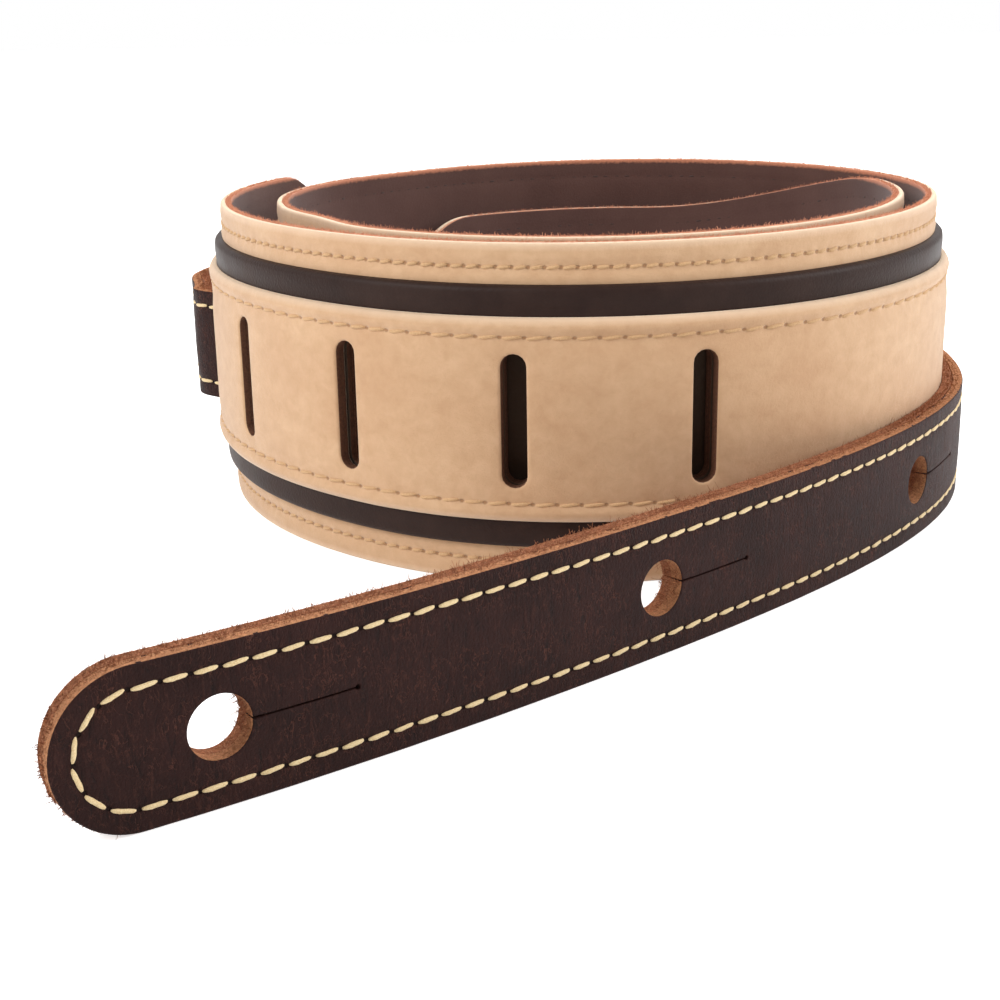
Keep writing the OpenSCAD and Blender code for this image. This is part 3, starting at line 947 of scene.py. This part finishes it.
class Look(Nodes):
    """A material that is built up from noise, relief and colours."""

    def __init__(self, name, roughness=0.6):
        self.material = bpy.data.materials.new(name)
        self.material.use_nodes = True
        super().__init__(self.material.node_tree)
        self.shader = self.tree.nodes["Principled BSDF"]
        self.shader.inputs["Roughness"].default_value = roughness

    def parts(self, vector):
        """The x, y and z of a vector."""
        split = self.tree.nodes.new("ShaderNodeSeparateXYZ")
        self.feed(split.inputs[0], vector)
        return split.outputs

    def flat(self, scale=(1, 1, 1)):
        """Flat position on the strip, in millimetres times scale."""
        uv = self.add("UVMap", uv_map="flat")
        return self.add("Mapping", inputs={"Vector": uv, "Scale": scale})

    def solid(self, scale=(1, 1, 1)):
        """Position in the object, in millimetres times scale."""
        place = self.add("TexCoord", out="Object")
        return self.add("Mapping", inputs={"Vector": place,
                                                     "Scale": tuple(s / MM for s in scale)})

    def noise(self, where, scale, detail=3, rough=0.55, distortion=0.0):
        return self.add("TexNoise", out="Fac", inputs={
            "Vector": where, "Scale": scale, "Detail": detail, "Roughness": rough,
            "Distortion": distortion})

    def cells(self, where, scale, feature="F1"):
        return self.add("TexVoronoi", out="Distance", feature=feature,
                        inputs={"Vector": where, "Scale": scale})

    def span(self, value, low, high, to_low=0.0, to_high=1.0):
        return self.add("MapRange", inputs={
            "Value": value, "From Min": low, "From Max": high, "To Min": to_low, "To Max": to_high})

    def mix(self, share, a, b):
        """From colour a to colour b; a colour may be given from 0 to 255, as a screen shows it."""
        a, b = (srgb(*c) if isinstance(c, tuple) else c for c in (a, b))
        return self.add("Mix", out=2, data_type="RGBA", inputs={0: share, 6: a, 7: b})

    def bump(self, height, depth, below=None):
        """Adds relief of that depth in millimetres over the relief below it."""
        inputs = {"Height": height, "Distance": depth * MM}
        if below is not None:
            inputs["Normal"] = below
        return self.add("Bump", out="Normal", inputs=inputs)

    def needle_holes(self, pitch, radius):
        """1 in the needle holes of the seam and 0 away from them."""
        along, across, _ = self.parts(self.add("UVMap", uv_map="seam"))
        along = self.math("SUBTRACT", self.math("FRACT", self.math("ADD", along, 0.5)), 0.5)
        along = self.math("MULTIPLY", along, pitch * 0.8)
        both = self.math("ADD", self.math("MULTIPLY", along, along),
                         self.math("MULTIPLY", across, across))
        return self.span(self.math("SQRT", both), radius * 1.25, radius * 0.6)

    def off_middle(self, flat):
        """Distance across the band from its middle line, in millimetres."""
        _, across, _ = self.parts(flat)
        return self.math("ABSOLUTE", self.math("SUBTRACT", across, BAND_W / 2))

    def finish(self, colour, normal, roughness=None, gloss=0.5, sheen=0.0):
        given = {"Base Color": colour, "Normal": normal, "Specular IOR Level": gloss,
                 "Sheen Weight": sheen}
        if roughness is not None:
            given["Roughness"] = roughness
        for name, value in given.items():
            self.feed(self.shader.inputs[name], value)
        return self.material


def tan_leather(name, pitch, prick, edge_at, painted_shade):
    """Pale tan leather with soft needle holes, and painted shade where the last argument gives 1."""
    look = Look(name)
    flat = look.flat()
    cloud = look.noise(flat, 0.035, 4, 0.6)
    mottle = look.noise(flat, 0.3, 5, 0.65, 0.3)
    colour = look.mix(look.span(cloud, 0.3, 0.7), (203, 162, 124), (217, 180, 142))
    colour = look.mix(look.span(mottle, 0.35, 0.7, 0, 0.5), colour, (188, 146, 108))
    pores = look.cells(flat, 2.4)
    colour = look.mix(look.span(pores, 0.16, 0.02, 0, 0.22), colour, (150, 110, 75))
    # Painted highlight: paler along the rounded edges of the layer, where they catch the light
    to_edge = look.span(look.off_middle(flat), edge_at - 1.5, edge_at - 0.3, 0, 0.45)
    colour = look.mix(to_edge, colour, (240, 214, 186))
    holes = look.needle_holes(pitch, prick)
    # Painted shade: darker in the needle holes, which are only dents in the relief
    colour = look.mix(look.math("MULTIPLY", holes, 0.7), colour, (142, 98, 60))
    # Painted shade: nearly black where the leather lies in the dark, inside the coil or down in the
    # slots
    colour = look.mix(look.math("MULTIPLY", painted_shade(look, flat), 0.92), colour, (34, 20, 14))
    grain = look.noise(flat, 1.6, 6, 0.7, 0.4)
    normal = look.bump(grain, 0.12)
    normal = look.bump(look.span(pores, 0.0, 0.25), 0.03, normal)
    normal = look.bump(look.math("SUBTRACT", 1.0, holes), 0.14, normal)
    return look.finish(colour, normal, look.span(mottle, 0.3, 0.7, 0.55, 0.68), 0.16, 0.35)


# Past this length the band lies inside its own first turn
FIRST_TURN_L = 490


def shade_inside_first_turn(look, flat):
    """Painted shade: 1 on the part of the band that only the outer turn's slots let be seen."""
    along, _, _ = look.parts(flat)
    return look.span(along, FIRST_TURN_L, FIRST_TURN_L + 40)


def shade_under_inlay(look, flat):
    """Painted shade: 1 on the middle of the base leather, which the layers above it cover."""
    edge = BAND_W / 2 - BORDER_W
    return look.span(look.off_middle(flat), edge - 2, edge - 3)


def fibrous(name, roughness, dark, light, depth, scale=2.0, detail=6, rough=0.75, **shine):
    """Fibres that run from one shade to another, with relief of that depth."""
    look = Look(name, roughness)
    fibres = look.noise(look.solid(), scale, detail, rough)
    colour = look.mix(look.span(fibres, 0.3, 0.7), dark, light)
    return look.finish(colour, look.bump(fibres, depth), **shine)


def stripe_leather():
    """Smooth dark brown leather with a fine even grain and a soft gloss."""
    look = Look("stripe_leather")
    flat = look.flat()
    cloud = look.noise(flat, 0.12, 4, 0.6)
    colour = look.mix(look.span(cloud, 0.3, 0.7), (42, 28, 24), (52, 37, 32))
    grain = look.cells(flat, 2.1)
    normal = look.bump(grain, 0.04)
    normal = look.bump(look.noise(flat, 1.1, 5, 0.6), 0.06, normal)
    return look.finish(colour, normal, look.span(cloud, 0.3, 0.7, 0.42, 0.5), 0.1)


def lining_leather():
    """Brown lining, soft and slightly dusty."""
    look = Look("lining_leather")
    flat = look.flat()
    cloud = look.noise(flat, 0.05, 4, 0.6)
    nap = look.noise(flat, 1.8, 6, 0.7)
    colour = look.mix(look.span(cloud, 0.3, 0.7), (84, 57, 51), (96, 68, 61))
    colour = look.mix(look.span(nap, 0.4, 0.8, 0, 0.3), colour, (108, 80, 72))
    ragged = look.math("MULTIPLY", look.noise(flat, 1.3, 6, 0.75), 1.8)
    frayed = look.span(look.math("ADD", look.off_middle(flat), ragged),
                       BAND_W / 2 - 0.1, BAND_W / 2 + 0.5, 0, 0.9)
    colour = look.mix(frayed, colour, (206, 134, 102))
    return look.finish(colour, look.bump(nap, 0.08), 0.66, 0.1, 0.25)


def tail_leather():
    """Dark brown oiled leather: creased across, finely crackled and rubbed in places."""
    look = Look("tail_leather")
    flat = look.flat()
    cloud = look.noise(flat, 0.06, 4, 0.6)
    colour = look.mix(look.span(cloud, 0.3, 0.7), (34, 18, 16), (50, 28, 25))
    creases = look.noise(look.flat((1.0, 0.24, 1)), 0.95, 7, 0.72, 0.8)
    wander = look.noise(look.flat((1.0, 0.5, 1)), 0.7, 5, 0.6, 0.5)
    cracks = look.span(look.math("ABSOLUTE", look.math("SUBTRACT", wander, 0.5)), 0.0, 0.022, 1, 0)
    rubbed = look.noise(flat, 0.16, 4, 0.7, 0.5)
    cracks = look.math("MULTIPLY", cracks, look.span(rubbed, 0.42, 0.62))
    # Painted shade: darker down in the creases
    colour = look.mix(look.span(creases, 0.46, 0.34, 0, 0.75), colour, (20, 11, 10))
    colour = look.mix(look.span(creases, 0.56, 0.72, 0, 0.45), colour, (84, 54, 46))
    colour = look.mix(look.math("MULTIPLY", cracks, 0.55), colour, (118, 74, 62))
    holes = look.needle_holes(STITCH_PITCH, 0.31)
    # Painted shade: nearly black in the needle holes, which are only dents in the relief
    colour = look.mix(look.math("MULTIPLY", holes, 0.9), colour, (20, 10, 8))
    normal = look.bump(creases, 0.3)
    normal = look.bump(look.math("SUBTRACT", 1.0, cracks), 0.08, normal)
    grain = look.cells(look.flat((1.0, 0.7, 1)), 1.5, "DISTANCE_TO_EDGE")
    normal = look.bump(look.span(grain, 0.0, 0.22), 0.05, normal)
    normal = look.bump(look.noise(flat, 4.0, 4, 0.6), 0.03, normal)
    normal = look.bump(look.math("SUBTRACT", 1.0, holes), 0.35, normal)
    return look.finish(colour, normal, look.span(creases, 0.3, 0.7, 0.44, 0.6), 0.08)


def raw_leather(name, dark, light):
    """Raw flesh side or cut edge of the tail: orange-brown, matted with fibres."""
    look = Look(name, 0.95)
    where = look.solid()
    fibres = look.noise(where, 1.5, 7, 0.82, 0.6)
    strands = look.noise(look.solid((1, 1, 2.2)), 2.8, 5, 0.8, 0.4)
    colour = look.mix(look.span(fibres, 0.36, 0.62), dark, light)
    colour = look.mix(look.span(strands, 0.5, 0.68, 0, 0.75), colour, (240, 184, 138))
    colour = look.mix(look.span(strands, 0.42, 0.3, 0, 0.8), colour, (70, 36, 22))
    normal = look.bump(fibres, 0.45)
    normal = look.bump(strands, 0.25, normal)
    return look.finish(colour, normal, gloss=0.2)


def thread_look(name, dark, light):
    """Waxed thread, mottled between two shades along its strands."""
    return fibrous(name, 0.55, dark, light, 0.08, 4.5, 4, 0.7, gloss=0.25, sheen=0.15)


def foam_look():
    """Grey-brown foam with open pores; only its edge shows, inside the slots."""
    look = Look("foam", 0.9)
    pores = look.cells(look.solid(), 1.5)
    colour = look.mix(look.span(pores, 0.0, 0.5), (150, 138, 122), (186, 172, 154))
    return look.finish(colour, look.bump(pores, 0.1))


WHITE = (1, 1, 1, 1)
# How much the floor glows for the rays that see it, on top of the light that falls on it
FLOOR_GLOW = 0.62


def floor_look():
    """Pale floor that still takes a soft shadow but reads as white to the camera."""
    look = Look("floor", 0.8)
    glow = look.math("MULTIPLY", look.background_rays(), FLOOR_GLOW)
    look.feed(look.shader.inputs["Base Color"], (0.9, 0.9, 0.9, 1))
    look.feed(look.shader.inputs["Emission Color"], WHITE)
    look.feed(look.shader.inputs["Emission Strength"], glow)
    return look.material


# ---- The stage ----

# The camera stands in front of the coil's middle and looks down on it a little
CAMERA_FROM_COIL = (-23.8, -358.72, 104.22)
CAMERA_PITCH = 17.33
CAMERA_ROLL = -1.054
CAMERA_LENS = 57.63

# Strength of the even light from all round; the point that the lamps face, in metres; and how
# far the floor lies below the strap, in millimetres
SKY_LIGHT = 0.42
LAMPS_FACE = (0, 0, 0.03)
FLOOR_DROP = 0.05


def place_camera():
    data = bpy.data.cameras.new("camera")
    data.lens = CAMERA_LENS
    data.sensor_width = 36
    camera = put_in_scene("camera", data)
    x, y, z = CAMERA_FROM_COIL
    spot = Vector((x + TO_ORIGIN[0], y + TO_ORIGIN[1], z)) * MM
    camera.matrix_world = (Matrix.Translation(spot)
                           @ Matrix.Rotation(math.radians(90 - CAMERA_PITCH), 4, "X")
                           @ Matrix.Rotation(math.radians(CAMERA_ROLL), 4, "Z"))
    bpy.context.scene.camera = camera


def softbox(name, spot, size, power):
    """A square area lamp at a place in metres, which faces the middle of the strap."""
    data = bpy.data.lights.new(name, "AREA")
    data.size = size
    data.energy = power
    lamp = put_in_scene(name, data)
    lamp.location = spot
    ray = Vector(LAMPS_FACE) - Vector(spot)
    lamp.rotation_euler = ray.to_track_quat("-Z", "Y").to_euler()


def set_world():
    """An even light all round, in front of a white background."""
    world = bpy.data.worlds.new("studio")
    world.use_nodes = True
    bpy.context.scene.world = world
    nodes = Nodes(world.node_tree)
    lit = nodes.add("Background", inputs={"Color": WHITE, "Strength": SKY_LIGHT})
    seen = nodes.add("Background", inputs={"Color": WHITE})
    both = nodes.add("MixShader", inputs={0: nodes.background_rays(), 1: lit, 2: seen})
    nodes.feed(nodes.tree.nodes["World Output"].inputs["Surface"], both)


def make_stage():
    bpy.context.scene.view_settings.view_transform = "Standard"
    place_camera()
    set_world()
    softbox("key", (-0.9, -0.45, 0.8), 0.7, 11)
    softbox("fill", (1.0, -0.1, 0.6), 0.7, 9)
    softbox("back", (0.1, 0.8, 1.0), 0.9, 10)
    bm = bmesh.new()
    bmesh.ops.create_grid(bm, x_segments=1, y_segments=1, size=4)
    bmesh.ops.translate(bm, verts=bm.verts, vec=(0, 0, -FLOOR_DROP * MM))
    floor = as_object(bm, "floor")
    floor.data.materials.append(floor_look())


# ---- Everything together ----


def hand_over(piece, material_slot, body, *nodes):
    """Lets a piece ride on a body, in place of the CAD nodes named."""
    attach(piece, body)
    if nodes:
        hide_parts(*nodes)


def hand_over_tail(piece, material_slot, *nodes):
    """Bakes a piece of the tail where it lies, in place of the CAD nodes named."""
    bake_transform(piece)
    if nodes:
        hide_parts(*nodes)


def build():
    border = tan_leather("border_leather", BORDER_PITCH, 0.38, BAND_W / 2, shade_under_inlay)
    panel = tan_leather("panel_leather", STITCH_PITCH, 0.36, BAND_W / 2 - BORDER_W - STRIPE_W,
                        shade_inside_first_turn)
    lining, stripe, tail = lining_leather(), stripe_leather(), tail_leather()
    # A cut edge is paler and fuzzy; the slots' walls are painted dark brown as the shade deep in the
    # slots
    pale_edge = fibrous("pale_cut_edge", 0.9, (226, 188, 152), (250, 232, 208), 0.2, scale=2.2)
    wall = fibrous("slot_wall_shade", 0.8, (72, 42, 27), (118, 74, 48), 0.2)
    lining_edge = fibrous("lining_cut_edge", 0.95, (190, 114, 82), (240, 182, 150), 0.25,
                          rough=0.8, gloss=0.2)
    raw = raw_leather("raw_leather", (112, 60, 40), (202, 128, 90))
    face_edge = raw_leather("raw_face_edge", (146, 86, 54), (228, 162, 116))
    foam = foam_look()
    cream = thread_look("cream_thread", (214, 178, 122), (246, 226, 182))
    tan_thread = thread_look("tan_thread", (190, 148, 104), (216, 178, 134))
    dark_thread = thread_look("dark_thread", (44, 28, 25), (70, 48, 42))
    lining_thread = thread_look("lining_thread", (60, 40, 36), (76, 54, 48))

    hand_over(make_lining((lining_edge, lining_edge, lining, wall)), "lining_leather", "coil", "lining")
    hand_over(rim_fibres(lining_edge), "lining_leather", "coil")
    hand_over(make_base((border, pale_edge, pale_edge, wall)), "tan_leather", "coil", "base_leather")
    padding = make_padding((foam, foam, foam))
    hand_over(padding, "foam", "coil", "padding")
    hand_over(make_inlay((stripe, stripe, raw, wall)), "dark_leather", "coil", "inlay_leather")
    hand_over(make_panel((panel, pale_edge, pale_edge, wall)), "tan_leather", "coil", "centre_panel")

    border_row = sew("border_stitches", BORDER_SEAM, on_band, PADDING_AT - 0.26, 1, tan_thread,
                     width=0.72, height=0.5, length=2.6, slant=9, dip=0.42)
    hand_over(border_row, "tan_thread", "coil", "border_thread")
    bobbin_row = sew("border_bobbin_stitches", BORDER_SEAM, on_band, 0.4, -1, lining_thread,
                     width=0.6, height=0.4, length=2.4, slant=7, dip=0.42)
    hand_over(bobbin_row, "dark_thread", "coil", "border_bobbin_thread")
    panel_row = sew("panel_stitches", PANEL_SEAM, on_band, BAND_T - 0.2, 1, tan_thread,
                    width=0.72, height=0.5, length=3.8, slant=7, dip=0.42)
    hand_over(panel_row, "tan_thread", "coil", "panel_thread")

    hand_over_tail(make_tail_face((tail, face_edge, raw)), "tail_leather",
                   "tail_face_wrapped", "tail_face_free")
    hand_over_tail(make_tail_backing((raw, raw, raw)), "raw_leather",
                   "tail_backing_wrapped", "tail_backing_free")
    tail_row = sew("tail_stitches", TAIL_SEAM, on_tail, TAIL_T / 2 - 0.3, 1, cream)
    hand_over_tail(tail_row, "cream_thread", "tail_thread_wrapped", "tail_thread_free")
    tail_bobbin_row = sew("tail_bobbin_stitches", TAIL_SEAM, on_tail, 0.28 - TAIL_T / 2, -1,
                          dark_thread)
    hand_over_tail(tail_bobbin_row, "dark_thread",
                   "tail_bobbin_thread_wrapped", "tail_bobbin_thread_free")
    hand_over_tail(tail_fibres(raw), "raw_leather")


make_stage()
build()
